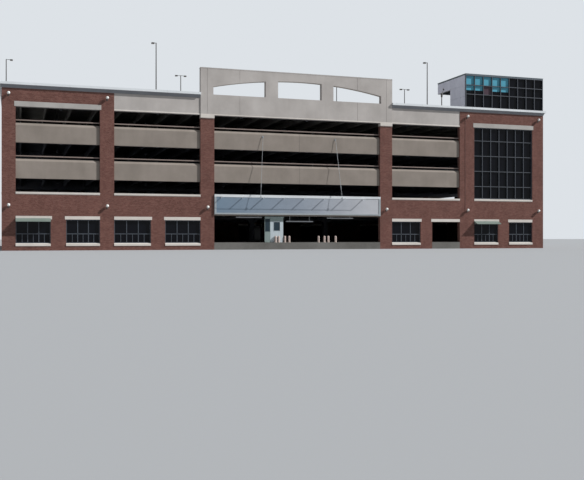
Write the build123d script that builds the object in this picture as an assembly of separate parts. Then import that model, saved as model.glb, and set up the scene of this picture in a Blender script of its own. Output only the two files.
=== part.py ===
"""Multi storey car park, modelled at half of its full size.

Everything is in millimetres of the half-size model. X runs along the front,
the front faces -Y, Z is up. The origin is the middle of the footprint at the
foot of the walls.
"""
import math
import os

from build123d import *

# Plan of the front, from its left end to its right end
left_end_pier = 600
left_end_opening = 3740
left_inner_pier = 650
left_bay = 4120
entrance_column = 680
entrance_opening = 8820
right_bay = 4000
right_inner_pier = 880
right_end_opening = 3660
right_end_pier = 700

# Plan of the sides and the back
depth = 18300
wall_depth = 240
side_corner_pier = 360
side_column = 680
side_bays = 4
back_middle_column = 680

# Heights above the entrance floor
wall_foot_below_floor = 350
first_storey = 1805
storey = 1630
open_storeys = 3
guard_sill_top = 535
guard_sill_height = 125
guard_sill_overhang = 18
spandrel_above_deck = 400
spandrel_below_deck = 490
parapet_above_roof = 475
cornice_edge = 110

# Precast panels
spandrel_setback = 70
spandrel_chamfer_height = 105
spandrel_chamfer_back = 60
band_setback = 16
band_lip_height = 50
band_lip_out = 14
end_lintel_height = 230
end_lintel_bearing = 60
rail_above_deck = 555
rail_size = 50
rail_post_pitch = 1500

# Cornice
cornice_overhang = 120
cornice_soffit_height = 150
cornice_drip = 50
cornice_joint = 2

# Decks of double tees on beams
tee_nominal_width = 2290
tee_joint = 10
tee_depth = 355
tee_flange = 50
tee_stem_top = 90
tee_stem_foot = 60
deck_clearance = 10
edge_beam_width = 110
girder_stem = 300
girder_ledge = 150
girder_ledge_height = 150
column_size = 300
corbel_reach = 130
corbel_height = 180

# Ground floor windows and the doorway
window_head = 1080
window_sill_top = -15
window_sill_height = 130
window_sill_out = 25
window_middle_pier = 680
lintel_height = 150
lintel_bearing = 55
lintel_out = 9
frame_width = 38
frame_depth = 70
frame_setback = 70
glass_thickness = 12
back_window_width = 1700
awning_reach = 330
awning_drop = 150
awning_thickness = 16

# Tall window of the right end bay
curtain_columns = 7
curtain_top_row = 735
curtain_row = 825
curtain_rows = 5
mullion_width = 36
mullion_depth = 60
curtain_setback = 60

# Arched screen over the entrance
screen_out = 22
screen_top = 8505
screen_sill = 7210
screen_crown = 8070
screen_spring = 7595
screen_middle_opening = 2320
screen_pier = 640
screen_outer_opening = 2660
screen_end_strip = 330
screen_joint = 14
screen_joint_depth = 12
column_cap_height = 165
column_cap_out = 24

# Entrance canopy, the arms that stand out from it and their tie rods
canopy_out = 45
canopy_edge_out = 60
canopy_bottom = 1385
canopy_top = 2350
canopy_edge_height = 110
canopy_sheet = 24
canopy_lip_height = 70
canopy_end_trim = 95
canopy_end_drop = 30
arm_count = 8
arm_pitch = 1070
arm_from_right = 990
arm_reach = 350
arm_thickness = 16
arm_height = 50
arm_bar_width = 30
rod_radius = 12
rod_sides = 8
rod_bracket = 90
rod_from_middle = 1930
rod_splay = 220
rod_top = 5250

# Stair penthouse on the roof
penthouse_width = 4870
penthouse_room_depth = 1700
penthouse_depth = 3150
penthouse_top = 9100
penthouse_wall = 100
penthouse_roof_thickness = 70
penthouse_fascia = 560
penthouse_columns = 9
penthouse_top_row = 620
penthouse_row = 500
penthouse_setback = 20
penthouse_door_width = 520
penthouse_door_height = 1080

# Lights, booth and bollards
globe_radius = 72
globe_sides = 8
globe_shoulder = 38
globe_crown = 72
light_arm = 40
light_arm_thickness = 24
light_plate = 60
lower_light_height = 1650
upper_light_height = 6700
lamp_top = 9610
low_lamp_top = 8025
lamp_base = 150
lamp_base_height = 60
lamp_thickness = 60
lamp_arm_thickness = 30
lamp_reach = 330
front_lamp_reach = 230
lamp_head_length = 150
lamp_head_width = 120
lamp_head_height = 70
low_lamp_head_width = 100
low_lamp_head_height = 230
low_lamp_stem = 24
low_lamp_stem_lean = 110
low_lamp_stem_height = 150
front_lamps_from_front = 340
rear_lamps_from_front = 8000
parapet_lamp_from_front = 6500
tall_lamp_places = (-7255, 7248)
rear_lamp_places = (-4620, 5040, 9640)
low_lamp_place = 8117
booth_left = -1585
booth_width = 670
booth_depth = 900
booth_height = 1245
booth_wall = 30
booth_corner = 150
booth_roof = 40
booth_roof_out = 35
booth_window_sill = 560
booth_window_head = 1040
booth_from_front = 120
screen_glass_width = 300
bollard_radius = 55
bollard_height = 330
bollard_cap = 20
bollard_sides = 12
bollard_places = (-825, -595, 975, 1290, 1505, 1900)
booth_bollard_places = (-1331, -1163)
booth_bollards_from_front = 60

# Worked-out places
front_parts = (
    ("pier", left_end_pier), ("bay", left_end_opening), ("pier", left_inner_pier),
    ("bay", left_bay), ("column", entrance_column), ("bay", entrance_opening),
    ("column", entrance_column), ("bay", right_bay), ("pier", right_inner_pier),
    ("bay", right_end_opening), ("pier", right_end_pier))
length = sum(width for kind, width in front_parts)
x_left = -length / 2
x_right = length / 2
y_front = (arm_reach - depth - cornice_overhang) / 2
y_back = y_front + depth
y_middle = y_front + depth / 2
floor = wall_foot_below_floor
deck_levels = [floor + first_storey + storey * n for n in range(open_storeys)]
roof = floor + first_storey + storey * open_storeys
wall_top = roof + parapet_above_roof
cornice_top = wall_top + cornice_edge
guard_top = deck_levels[0] + guard_sill_top
base_wall_top = guard_top - guard_sill_height
band_bottom = roof - spandrel_below_deck


def block(x0, x1, y0, y1, z0, z1):
    """A plain block between two corners."""
    middle = ((x0 + x1) / 2, (y0 + y1) / 2, (z0 + z1) / 2)
    return Pos(*middle) * Box(x1 - x0, y1 - y0, z1 - z0)


def along_x(outline, x0, x1):
    """Extrude an outline of (y, z) points along X."""
    wire = Polyline(*[(x0, y, z) for y, z in outline], close=True)
    return extrude(make_face(wire), amount=x1 - x0, dir=(1, 0, 0))


def along_y(outline, y0, y1):
    """Extrude an outline of (x, z) points along Y."""
    wire = Polyline(*[(x, y0, z) for x, z in outline], close=True)
    return extrude(make_face(wire), amount=y1 - y0, dir=(0, 1, 0))


def places(parts, start):
    """Turn widths in a row into (kind, from, to)."""
    row = []
    at = start
    for kind, width in parts:
        row.append((kind, at, at + width))
        at += width
    return row


def bays_of(row):
    """The openings of a row, as (from, to)."""
    return [(a, b) for kind, a, b in row if kind == "bay"]


def posts_of(row, wanted):
    """The piers or columns of a row, as (from, to)."""
    return [(a, b) for kind, a, b in row if kind == wanted]


# Each wall is drawn with its outer face on y = 0 and its inside towards +y,
# then turned and moved to its side of the building.
front_place = Pos(0, y_front, 0)
back_place = Pos(0, y_back, 0) * Rot(0, 0, 180)
left_place = Pos(x_left, y_middle, 0) * Rot(0, 0, -90)
right_place = Pos(x_right, y_middle, 0) * Rot(0, 0, 90)

front_row = places(front_parts, x_left)
back_row = []
for kind, a, b in reversed(front_row):
    back_row.append((kind, -b, -a))
entrance_left, entrance_right = bays_of(front_row)[2]
back_wide = bays_of(back_row)[2]
back_row = [part for part in back_row if (part[1], part[2]) != back_wide]
back_half = (back_wide[1] - back_wide[0] - back_middle_column) / 2
back_row.append(("bay", back_wide[0], back_wide[0] + back_half))
back_row.append(("column", back_wide[0] + back_half, back_wide[1] - back_half))
back_row.append(("bay", back_wide[1] - back_half, back_wide[1]))
back_row.sort(key=lambda part: part[1])

side_inner = depth - 2 * wall_depth
side_opening = (side_inner - 2 * side_corner_pier - (side_bays - 1) * side_column) / side_bays
side_parts = [("pier", side_corner_pier)]
for n in range(side_bays):
    side_parts.append(("bay", side_opening))
    side_parts.append(("column", side_column) if n < side_bays - 1 else ("pier", side_corner_pier))
side_row = places(side_parts, -side_inner / 2)


def post(a, b, top):
    """A brick pier from the foot of the walls up to a height."""
    return block(a, b, 0, wall_depth, 0, top)


def window_pair(a, b):
    """The two windows of a ground floor bay, beside a middle pier."""
    width = (b - a - window_middle_pier) / 2
    return [(a, a + width), (b - width, b)]


def back_windows(a, b):
    """The one window of a plainer bay, in its middle."""
    middle = (a + b) / 2
    return [(middle - back_window_width / 2, middle + back_window_width / 2)]


def window_lintel(a, b, low_end, high_end):
    """The precast lintel over one ground floor window, kept within its bay."""
    x0 = max(a - lintel_bearing, low_end)
    x1 = min(b + lintel_bearing, high_end)
    low = floor + window_head
    return block(x0, x1, -lintel_out, wall_depth, low, low + lintel_height)


def window_sill(a, b):
    """The sloped precast sill under one ground floor window."""
    top = floor + window_sill_top
    low = top - window_sill_height
    slope = window_sill_height / 4
    outline = [(-window_sill_out, low), (frame_setback, low), (frame_setback, top),
               (-window_sill_out, top - slope)]
    return along_x(outline, a, b)


def window_hole(a, b):
    """The hole of one ground floor window, with the beds of its lintel and its sill."""
    through = (-wall_depth, 2 * wall_depth)
    low, high = floor + window_sill_top, floor + window_head
    hole = block(a, b, *through, low, high)
    bed = block(a - lintel_bearing, b + lintel_bearing, *through, high, high + lintel_height)
    sill_bed = block(a, b, -wall_depth, frame_setback, low - window_sill_height, low)
    return [hole, bed, sill_bed]


def base_wall(a, b, windows):
    """The brick wall of one ground floor bay, with its windows cut through."""
    wall = block(a, b, 0, wall_depth, 0, base_wall_top)
    for window in windows:
        for hole in window_hole(*window):
            wall -= hole
    return wall


def guard_sill(a, b):
    """The precast sill on the brick wall, at guard height of the first deck."""
    drip = guard_sill_height / 5
    out = -guard_sill_overhang
    outline = [(0, base_wall_top), (wall_depth, base_wall_top), (wall_depth, guard_top),
               (out, guard_top - drip / 2), (out, base_wall_top + drip), (0, base_wall_top + drip)]
    return along_x(outline, a, b)


def spandrel(a, b, deck_level):
    """A precast spandrel panel whose face slopes back along its top edge."""
    top = deck_level + spandrel_above_deck
    low = deck_level - spandrel_below_deck
    face = spandrel_setback
    outline = [(face, low), (wall_depth, low), (wall_depth, top), (face + spandrel_chamfer_back, top),
               (face, top - spandrel_chamfer_height)]
    return along_x(outline, a, b)


def top_band(a, b):
    """The precast parapet panel at roof level, with a lip along its foot."""
    face = band_setback
    lip = face - band_lip_out
    head_of_lip = band_bottom + band_lip_height
    outline = [(lip, band_bottom), (wall_depth, band_bottom), (wall_depth, wall_top), (face, wall_top),
               (face, head_of_lip + band_lip_out), (lip, head_of_lip)]
    return along_x(outline, a, b)


def guard_rail(a, b, deck_level):
    """A rail on short posts along the top of a spandrel."""
    y0 = (spandrel_setback + wall_depth - rail_size) / 2
    y1 = y0 + rail_size
    top = deck_level + rail_above_deck
    rail = block(a, b, y0, y1, top - rail_size, top)
    count = max(2, round((b - a) / rail_post_pitch))
    for n in range(count):
        x = a + (b - a) * (n + 0.5) / count
        rail += block(x - rail_size / 2, x + rail_size / 2, y0, y1,
                      deck_level + spandrel_above_deck, top - rail_size / 2)
    return rail


def cornice(a, b, mitre_a, mitre_b):
    """The overhanging cornice: a thin edge over a soffit that slopes back to the wall."""
    out = -cornice_overhang
    foot = wall_top - cornice_soffit_height
    outline = [(wall_depth, wall_top), (wall_depth, cornice_top), (out, cornice_top), (out, wall_top),
               (out + cornice_drip, wall_top), (0, foot), (0, wall_top)]
    piece = along_x(outline, a, b)
    if mitre_a:
        piece -= mitre(a, 1)
    if mitre_b:
        piece -= mitre(b, -1)
    return piece


def mitre(x, way):
    """The wedge cut off a cornice end where it meets the next side."""
    y0 = -cornice_overhang
    y1 = wall_depth
    low = wall_top - cornice_soffit_height - cornice_joint
    reach = y1 - y0 + cornice_joint
    near = x - way * cornice_joint
    far = x + way * (reach + cornice_joint)
    wire = Polyline((x, y0 - cornice_joint, low), (far, y1 + cornice_joint, low),
                    (near, y1 + cornice_joint, low), (near, y0 - cornice_joint, low), close=True)
    return extrude(make_face(wire), amount=cornice_top + cornice_joint - low, dir=(0, 0, 1))


def double_tee(x0, x1, y0, y1, level):
    """One double tee: a thin flange on two tapered stems."""
    width = x1 - x0
    under = level - tee_flange
    foot = level - tee_depth
    outline = [(x0, level), (x0, under)]
    for share in (0.25, 0.75):
        at = x0 + width * share
        outline += [(at - tee_stem_top / 2, under), (at - tee_stem_foot / 2, foot),
                    (at + tee_stem_foot / 2, foot), (at + tee_stem_top / 2, under)]
    outline += [(x1, under), (x1, level)]
    return along_y(outline, y0, y1)


def deck(level):
    """A deck: two rows of double tees, from the walls to the middle girders."""
    x0 = x_left + wall_depth + deck_clearance
    x1 = x_right - wall_depth - deck_clearance
    count = round((x1 - x0) / tee_nominal_width)
    width = (x1 - x0 - (count - 1) * tee_joint) / count
    near = girder_stem / 2 + deck_clearance
    rows = ((y_front + wall_depth + deck_clearance, y_middle - near),
            (y_middle + near, y_back - wall_depth - deck_clearance))
    tees = []
    for y0, y1 in rows:
        for n in range(count):
            a = x0 + n * (width + tee_joint)
            tees.append(double_tee(a, a + width, y0, y1, level))
    return tees


def interior_lines():
    """Where the inner columns stand along the middle of the building."""
    piers = posts_of(front_row, "pier")
    columns = posts_of(front_row, "column")
    first, second, fourth, fifth = [(a + b) / 2 for a, b in (piers[1], *columns, piers[2])]
    return [first, second, (second + fourth) / 2, fourth, fifth]


def interior_column(x):
    """A column with corbels under the girders of each level."""
    half = column_size / 2
    reach = half + corbel_reach
    body = block(x - half, x + half, y_middle - half, y_middle + half, floor, roof)
    for level in deck_levels + [roof]:
        seat = level - tee_depth - girder_ledge_height
        side = seat - corbel_height / 3
        foot = seat - corbel_height
        outline = [(x - reach, seat), (x + reach, seat), (x + reach, side), (x + half, foot),
                   (x - half, foot), (x - reach, side)]
        body += along_y(outline, y_middle - half, y_middle + half)
    return body


def girder(a, b, level):
    """A girder with a ledge on each side that carries the double tees."""
    stem = girder_stem / 2
    wide = stem + girder_ledge
    ledge = level - tee_depth
    foot = ledge - girder_ledge_height
    outline = [(y_middle - wide, foot), (y_middle + wide, foot), (y_middle + wide, ledge),
               (y_middle + stem, ledge), (y_middle + stem, level), (y_middle - stem, level),
               (y_middle - stem, ledge), (y_middle - wide, ledge)]
    return along_x(outline, a, b)


def floor_beams():
    """Girders between the columns, and edge beams inside the front and the back."""
    half = column_size / 2
    stops = [x_left + wall_depth]
    for x in interior_lines():
        stops += [x - half, x + half]
    stops.append(x_right - wall_depth)
    inner = wall_depth + edge_beam_width
    beams = []
    for level in deck_levels + [roof]:
        for a, b in zip(stops[::2], stops[1::2]):
            beams.append(girder(a, b, level))
        low, high = level - spandrel_below_deck, level - tee_depth
        for y0 in (y_front + wall_depth, y_back - inner):
            beams.append(block(stops[0], stops[-1], y0, y0 + edge_beam_width, low, high))
    return beams


def arched_screen():
    """The precast wall over the entrance, with three openings under one arch."""
    a = entrance_left - entrance_column
    b = entrance_right + entrance_column
    middle = (a + b) / 2
    wall = block(a, b, -screen_out, wall_depth, band_bottom, floor + screen_top)
    half = screen_middle_opening / 2
    outer = half + screen_pier
    half_span = outer + screen_outer_opening
    rise = screen_crown - screen_spring
    radius = (half_span ** 2 + rise ** 2) / (2 * rise)
    disc = Pos(middle, 0, floor + screen_crown - radius) * Rot(90, 0, 0) * Cylinder(radius, 4 * wall_depth)
    for x0, x1 in ((-half, half), (outer, half_span), (-half_span, -outer)):
        hole = block(middle + x0, middle + x1, -wall_depth, 2 * wall_depth,
                     floor + screen_sill, floor + screen_crown)
        wall -= hole & disc
    quarter = outer + screen_outer_opening / 2
    ends = (b - a) / 2 - screen_end_strip
    for x in (-ends, -quarter, quarter, ends):
        wall -= block(middle + x - screen_joint / 2, middle + x + screen_joint / 2,
                      -screen_out - 1, -screen_out + screen_joint_depth,
                      band_bottom - 1, floor + screen_top + 1)
    wall += block(entrance_left, entrance_right, -screen_out - band_lip_out, -screen_out + 1,
                  band_bottom, band_bottom + band_lip_height)
    return wall


def column_cap(a, b):
    """The precast cap between an entrance column and the screen."""
    out = -screen_out - column_cap_out
    low = band_bottom - column_cap_height
    outline = [(0, low), (wall_depth, low), (wall_depth, band_bottom), (out, band_bottom),
               (out, low + column_cap_out)]
    return along_x(outline, a, b)


def entrance_canopy():
    """A sheet-clad fascia between the entrance columns, with a top edge, a lip and end trims."""
    a, b = entrance_left, entrance_right
    low, high = floor + canopy_bottom, floor + canopy_top
    edge = high - canopy_edge_height
    back = spandrel_setback
    face = -canopy_out
    front = -canopy_edge_out
    inside = face + canopy_sheet
    shelf = low + canopy_sheet
    lip_top = low + canopy_lip_height
    outline = [(back, high), (back, edge), (inside, edge), (inside, shelf), (back, shelf), (back, low),
               (front, low), (front, lip_top), (face, lip_top), (face, edge), (front, edge), (front, high)]
    body = along_x(outline, a, b)
    for x0, x1 in ((a, a + canopy_sheet), (b - canopy_sheet, b)):
        body += block(x0, x1, face, back, low, edge)
    for x0, x1, foot in ((a, a + canopy_end_trim, low), (b - canopy_end_trim, b, low - canopy_end_drop)):
        body += block(x0, x1, front, face + canopy_sheet / 2, foot, edge)
    return body


def canopy_arms():
    """The thin arms under the canopy's top edge, and the bar along their ends."""
    high = floor + canopy_top - canopy_edge_height
    low = high - arm_height
    tip = arm_bar_width - arm_reach
    half = arm_thickness / 2
    middles = [entrance_right - arm_from_right - arm_pitch * n for n in range(arm_count)]
    arms = [block(x - half, x + half, tip, -canopy_out, low, high) for x in middles]
    bar = block(middles[-1] - half, middles[0] + half, -arm_reach, tip, low, high)
    return arms + [bar]


def tie_rod(way):
    """A thin rod from a bracket on the upper spandrel to the bar along the canopy's arms."""
    middle = (entrance_left + entrance_right) / 2
    half = rod_bracket / 2
    x_high = middle + way * rod_from_middle
    x_low = x_high + way * rod_splay
    wall = spandrel_setback
    shoe_foot = floor + canopy_top - canopy_edge_height
    top = Vector(x_high, wall - half, floor + rod_top)
    foot = Vector(x_low, arm_bar_width / 2 - arm_reach, shoe_foot + half)
    line = foot - top
    rod = extrude(Plane(top, z_dir=line) * RegularPolygon(rod_radius, rod_sides), amount=line.length)
    plate = block(x_high - half, x_high + half, wall - rod_bracket, wall,
                  floor + rod_top - half, floor + rod_top + half)
    shoe = block(x_low - half, x_low + half, -arm_reach, arm_bar_width - arm_reach,
                 shoe_foot, shoe_foot + rod_bracket)
    return rod + plate + shoe


def end_lintel(a, b, extra=0):
    """The precast lintel over the tall opening of an end bay, or the bed for it."""
    return block(a - end_lintel_bearing, b + end_lintel_bearing, -lintel_out - extra, wall_depth + extra,
                 band_bottom, band_bottom + end_lintel_height)


def front_pier(a, b, end_bays):
    """A brick pier of the front, cut back for the end bay lintels that rest in it."""
    body = post(a, b, wall_top)
    for bay in end_bays:
        body -= end_lintel(*bay, extra=1)
    return body


def bar_grid(a, b, low, high, y0, columns, bars):
    """A window frame with evenly spaced mullions and transoms at given heights."""
    y1 = y0 + mullion_depth
    grid = block(a, b, y0, y1, low, high)
    pitch = (b - a - mullion_width) / columns
    levels = [low] + sorted(bars) + [high - mullion_width]
    for n in range(columns):
        x0 = a + n * pitch + mullion_width
        for under, over in zip(levels[:-1], levels[1:]):
            grid -= block(x0, x0 + pitch - mullion_width, y0 - 1, y1 + 1, under + mullion_width, over)
    return grid


def curtain_window(a, b):
    """The frame and the glass of the tall window in the right end bay."""
    low, high = guard_top, band_bottom
    bars = [high - curtain_top_row - n * curtain_row for n in range(curtain_rows - 1)]
    frame = bar_grid(a, b, low, high, curtain_setback, curtain_columns, bars)
    back = curtain_setback + mullion_depth
    return frame, block(a, b, back, back + glass_thickness, low, high)


def ground_frame(a, b):
    """The plain outer frame of one ground floor window."""
    low, high = floor + window_sill_top, floor + window_head
    y0 = frame_setback
    y1 = y0 + frame_depth
    edge = frame_width
    ring = block(a, b, y0, y1, low, high)
    return ring - block(a + edge, b - edge, y0 - 1, y1 + 1, low + edge, high - edge)


def ground_glass(a, b):
    """The glass of one ground floor window, held in its frame."""
    y0 = frame_setback + (frame_depth - glass_thickness) / 2
    return block(a + frame_width, b - frame_width, y0, y0 + glass_thickness,
                 floor + window_sill_top + frame_width, floor + window_head - frame_width)


def awning(a, b):
    """A shallow sheet awning in front of a window's lintel."""
    high = floor + window_head + lintel_height / 3
    t = awning_thickness
    out = -awning_reach
    wall = -lintel_out
    low = high - awning_drop
    outline = [(wall, high), (wall, high - t), (out, low - t), (out, low)]
    body = along_x(outline, a, b)
    for x in (a, b - t):
        body += along_x([(wall, high), (out, low), (out, low - t), (wall, low - t)], x, x + t)
    return body


def penthouse_places():
    """The left and right sides of the penthouse, and the middle of its doorway."""
    a = x_right - penthouse_width
    return a, x_right, (a + x_right) / 2


def penthouse_walls():
    """Sheet-clad side and back walls of the penthouse, with a doorway to the roof."""
    a, b, middle = penthouse_places()
    wall = penthouse_wall
    high = floor + penthouse_top - penthouse_roof_thickness
    glazed = y_front + penthouse_setback + mullion_depth + glass_thickness
    parapet = y_front + wall_depth
    back = y_front + penthouse_room_depth
    side = x_right - wall_depth
    body = block(a, b, glazed, back, cornice_top, high) - block(
        a + wall, b - wall, glazed - 1, back - wall, cornice_top - 1, high + 1)
    body += block(a, a + wall, parapet, back, roof, cornice_top)
    body += block(a, side, back - wall, back, roof, cornice_top)
    half = penthouse_door_width / 2
    return body - block(middle - half, middle + half, back - 2 * wall, back + 1,
                        roof - 1, roof + penthouse_door_height)


def penthouse_roof():
    """The flat roof, with a deep fascia round its overhang at the rear."""
    a, b, middle = penthouse_places()
    wall = penthouse_wall
    high = floor + penthouse_top
    low = high - penthouse_roof_thickness
    foot = low - penthouse_fascia
    back = y_front + penthouse_depth
    room = y_front + penthouse_room_depth
    body = block(a, b, y_front + penthouse_setback, back, low, high)
    fascia = block(a, b, room, back, foot, low)
    fascia -= block(a + wall, b - wall, room - 1, back - wall, foot - 1, low)
    return body + fascia


def penthouse_window():
    """The frame and the glass of the penthouse front."""
    a, b, middle = penthouse_places()
    low = cornice_top
    high = floor + penthouse_top - penthouse_roof_thickness
    y0 = penthouse_setback
    y1 = y0 + mullion_depth
    first = floor + penthouse_top - penthouse_top_row
    frame = bar_grid(a, b, low, high, y0, penthouse_columns, [first, first - penthouse_row])
    return frame, block(a, b, y1, y1 + glass_thickness, low, high)


def globe_band(low, high):
    """One tapered band of a faceted globe, between two angles above its middle."""
    low, high = math.radians(low), math.radians(high)
    rise = globe_radius * (math.sin(high) - math.sin(low))
    run = globe_radius * (math.cos(low) - math.cos(high)) * math.cos(math.pi / globe_sides)
    ring = RegularPolygon(globe_radius * math.cos(low), globe_sides)
    band = extrude(ring, amount=rise, taper=math.degrees(math.atan2(run, rise)))
    return Pos(0, 0, globe_radius * math.sin(low)) * band


def globe():
    """A faceted globe of tapered bands, the lower half like the upper one."""
    upper = globe_band(0, globe_shoulder) + globe_band(globe_shoulder, globe_crown)
    return upper + mirror(upper, Plane.XY)


def wall_light(x, height):
    """A globe on a short arm and a wall plate."""
    z = floor + height
    thin = light_arm_thickness / 2
    half = light_plate / 2
    reach = light_arm + globe_radius
    plate = block(x - half, x + half, -light_arm_thickness, 0, z - light_plate, z + light_plate)
    arm = block(x - thin, x + thin, -reach, 0, z - thin, z + thin)
    return plate + arm + Pos(x, -reach, z + globe_radius) * globe()


def lamp_post(x, y, foot, top):
    """A lamp post on its base plate."""
    half = lamp_base / 2
    thin = lamp_thickness / 2
    plate = block(x - half, x + half, y - half, y + half, foot, foot + lamp_base_height)
    return plate + block(x - thin, x + thin, y - thin, y + thin, foot, top)


def roof_lamp(x, y, foot, top, heads, reach):
    """A lamp post with heads on arms, each to the left (-1) or to the right (1)."""
    body = lamp_post(x, y, foot, top)
    arm = lamp_arm_thickness / 2
    side = lamp_head_width / 2
    for way in heads:
        near, tip = x + way * (reach - lamp_head_length), x + way * reach
        x0, x1 = sorted((x, tip))
        body += block(x0, x1, y - arm, y + arm, top - lamp_arm_thickness, top)
        x0, x1 = sorted((near, tip))
        body += block(x0, x1, y - side, y + side, top - lamp_head_height, top)
    return body


def low_roof_lamp(x, y, top):
    """A low lamp post with a thick upright head and a knob on a leaning stem above it."""
    half = low_lamp_head_width / 2
    thin = low_lamp_stem / 2
    high = top + low_lamp_stem_height
    over = x + low_lamp_stem_lean
    body = lamp_post(x, y, roof, top)
    body += block(x - half, x + half, y - half, y + half, top - low_lamp_head_height, top)
    stem = [(x - thin, top), (x + thin, top), (over + thin, high), (over - thin, high)]
    body += along_y(stem, y - thin, y + thin)
    return body + block(over - half, over + half, y - half, y + half, high, high + low_lamp_head_width)


def roof_lamps():
    """The lamp posts on the roof, and one on the left parapet."""
    near = y_front + front_lamps_from_front
    far = y_front + rear_lamps_from_front
    top = floor + lamp_top
    lamps = [roof_lamp(x, near, roof, top, (-1,), front_lamp_reach) for x in tall_lamp_places]
    lamps += [roof_lamp(x, far, roof, top, (-1, 1), lamp_reach) for x in rear_lamp_places]
    lamps.append(low_roof_lamp(low_lamp_place, near, floor + low_lamp_top))
    parapet = x_left + wall_depth / 2
    along = y_front + parapet_lamp_from_front
    lamps.append(roof_lamp(parapet, along, cornice_top, top, (1,), lamp_reach))
    return lamps


def entrance_booth():
    """A small booth with windows, just inside the entrance."""
    a = booth_left
    b = a + booth_width
    y0 = booth_from_front
    y1 = y0 + booth_depth
    wall = booth_wall
    high = floor + booth_height
    sill, head = floor + booth_window_sill, floor + booth_window_head
    frame = booth_corner
    body = block(a, b, y0, y1, floor, high)
    body -= block(a + wall, b - wall, y0 + wall, y1 - wall, floor - 1, high + 1)
    body -= block(a + frame, b - frame, y0 - 1, y1 + 1, sill, head)
    body -= block(a - 1, b + 1, y0 + frame, y1 - frame, sill, head)
    out = booth_roof_out
    roof_top = high + booth_roof
    body += block(a - out, b + out, y0 - out, y1 + out, high, roof_top)
    return body + block(a - screen_glass_width, a, y0 - out, y0 + wall + out, high, roof_top)


def booth_screen():
    """The glazed screen that stands beside the booth, in its thin frame."""
    b = booth_left
    a = b - screen_glass_width
    y0 = booth_from_front
    return block(a, b, y0, y0 + booth_wall, floor, floor + booth_height)


def bollard(x, y):
    """A many-sided bollard with a chamfered cap."""
    ring = RegularPolygon(bollard_radius, bollard_sides)
    shoulder = bollard_height - bollard_cap
    body = extrude(ring, amount=shoulder) + Pos(0, 0, shoulder) * extrude(ring, amount=bollard_cap, taper=45)
    return Pos(x, y, floor) * body


def ground_slab(doorway):
    """The ground floor, down to the foot of the walls, with its two thresholds."""
    inner = y_front + wall_depth
    slab = block(x_left + wall_depth, x_right - wall_depth, inner, y_back - wall_depth, 0, floor)
    for a, b in ((entrance_left, entrance_right), doorway):
        slab += block(a, b, y_front, inner, 0, floor)
    return slab


def placed(place, solids):
    """Turn and move the pieces of one wall to its side."""
    return [place * solid for solid in solids]


def wall_windows():
    """Every glazed ground floor window: its wall's place, the window and its bay."""
    windows = []
    bays = bays_of(front_row)
    for index in (0, 1, 4):
        windows += [(front_place, pair, bays[index]) for pair in window_pair(*bays[index])]
    windows.append((front_place, window_pair(*bays[3])[0], bays[3]))
    for place, row in ((left_place, side_row), (right_place, side_row), (back_place, back_row)):
        for bay in bays_of(row):
            windows += [(place, pair, bay) for pair in back_windows(*bay)]
    return windows


def structure_nodes(doorway):
    """The floors and what carries them."""
    nodes = {"ground_slab": [ground_slab(doorway)]}
    names = ("deck_level_2", "deck_level_3", "deck_level_4", "roof_deck")
    for name, level in zip(names, deck_levels + [roof]):
        nodes[name] = deck(level)
    nodes["interior_columns"] = [interior_column(x) for x in interior_lines()]
    nodes["floor_beams"] = floor_beams()
    return nodes


def front_nodes(doorway):
    """The walls, panels and caps of the front."""
    bays = bays_of(front_row)
    end_bays = (bays[0], bays[4])
    columns = posts_of(front_row, "column")
    open_bays = bays[:4]
    door_left = doorway[0]
    cap_foot = band_bottom - column_cap_height
    above = floor + window_head + lintel_height
    walls = [base_wall(*bays[n], window_pair(*bays[n])) for n in (0, 1, 4)]
    door_bay = base_wall(bays[3][0], door_left, window_pair(*bays[3])[:1])
    door_bay -= window_hole(*doorway)[1]
    heads = [block(a, b, 0, wall_depth, band_bottom + end_lintel_height, wall_top) for a, b in end_bays]
    heads.append(block(door_left, bays[3][1], 0, wall_depth, above, base_wall_top))
    panels = [spandrel(a, b, level) for a, b in open_bays for level in deck_levels[1:]]
    panels.append(spandrel(*bays[2], deck_levels[0]))
    bollards = [bollard(x, booth_from_front) for x in bollard_places]
    bollards += [bollard(x, booth_bollards_from_front) for x in booth_bollard_places]
    pieces = {
        "front_piers": [front_pier(a, b, end_bays) for a, b in posts_of(front_row, "pier")],
        "entrance_columns": [post(a, b, cap_foot) for a, b in columns],
        "column_caps": [column_cap(a, b) for a, b in columns],
        "front_base_walls": walls + [door_bay],
        "brick_heads": heads,
        "arched_screen": [arched_screen()],
        "front_spandrels": panels,
        "front_guard_rails": [guard_rail(a, b, level) for a, b in open_bays for level in deck_levels[1:]],
        "entrance_canopy": [entrance_canopy()],
        "canopy_tie_rods": [tie_rod(-1), tie_rod(1)] + canopy_arms(),
        "entrance_booth": [entrance_booth()],
        "booth_screen": [booth_screen()],
        "bollards": bollards}
    return {name: placed(front_place, solids) for name, solids in pieces.items()}


def side_nodes():
    """The plainer walls of the left, the right and the back."""
    nodes = {}
    sides = (("left", left_place, side_row), ("right", right_place, side_row), ("back", back_place, back_row))
    for side, place, row in sides:
        bays = bays_of(row)
        posts = posts_of(row, "pier") + posts_of(row, "column")
        panels = [spandrel(a, b, level) for a, b in bays for level in deck_levels[1:]]
        nodes[side + "_piers"] = placed(place, [post(a, b, wall_top) for a, b in posts])
        nodes[side + "_base_walls"] = placed(place, [base_wall(a, b, back_windows(a, b)) for a, b in bays])
        nodes[side + "_spandrels"] = placed(place, panels)
    return nodes


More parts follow.
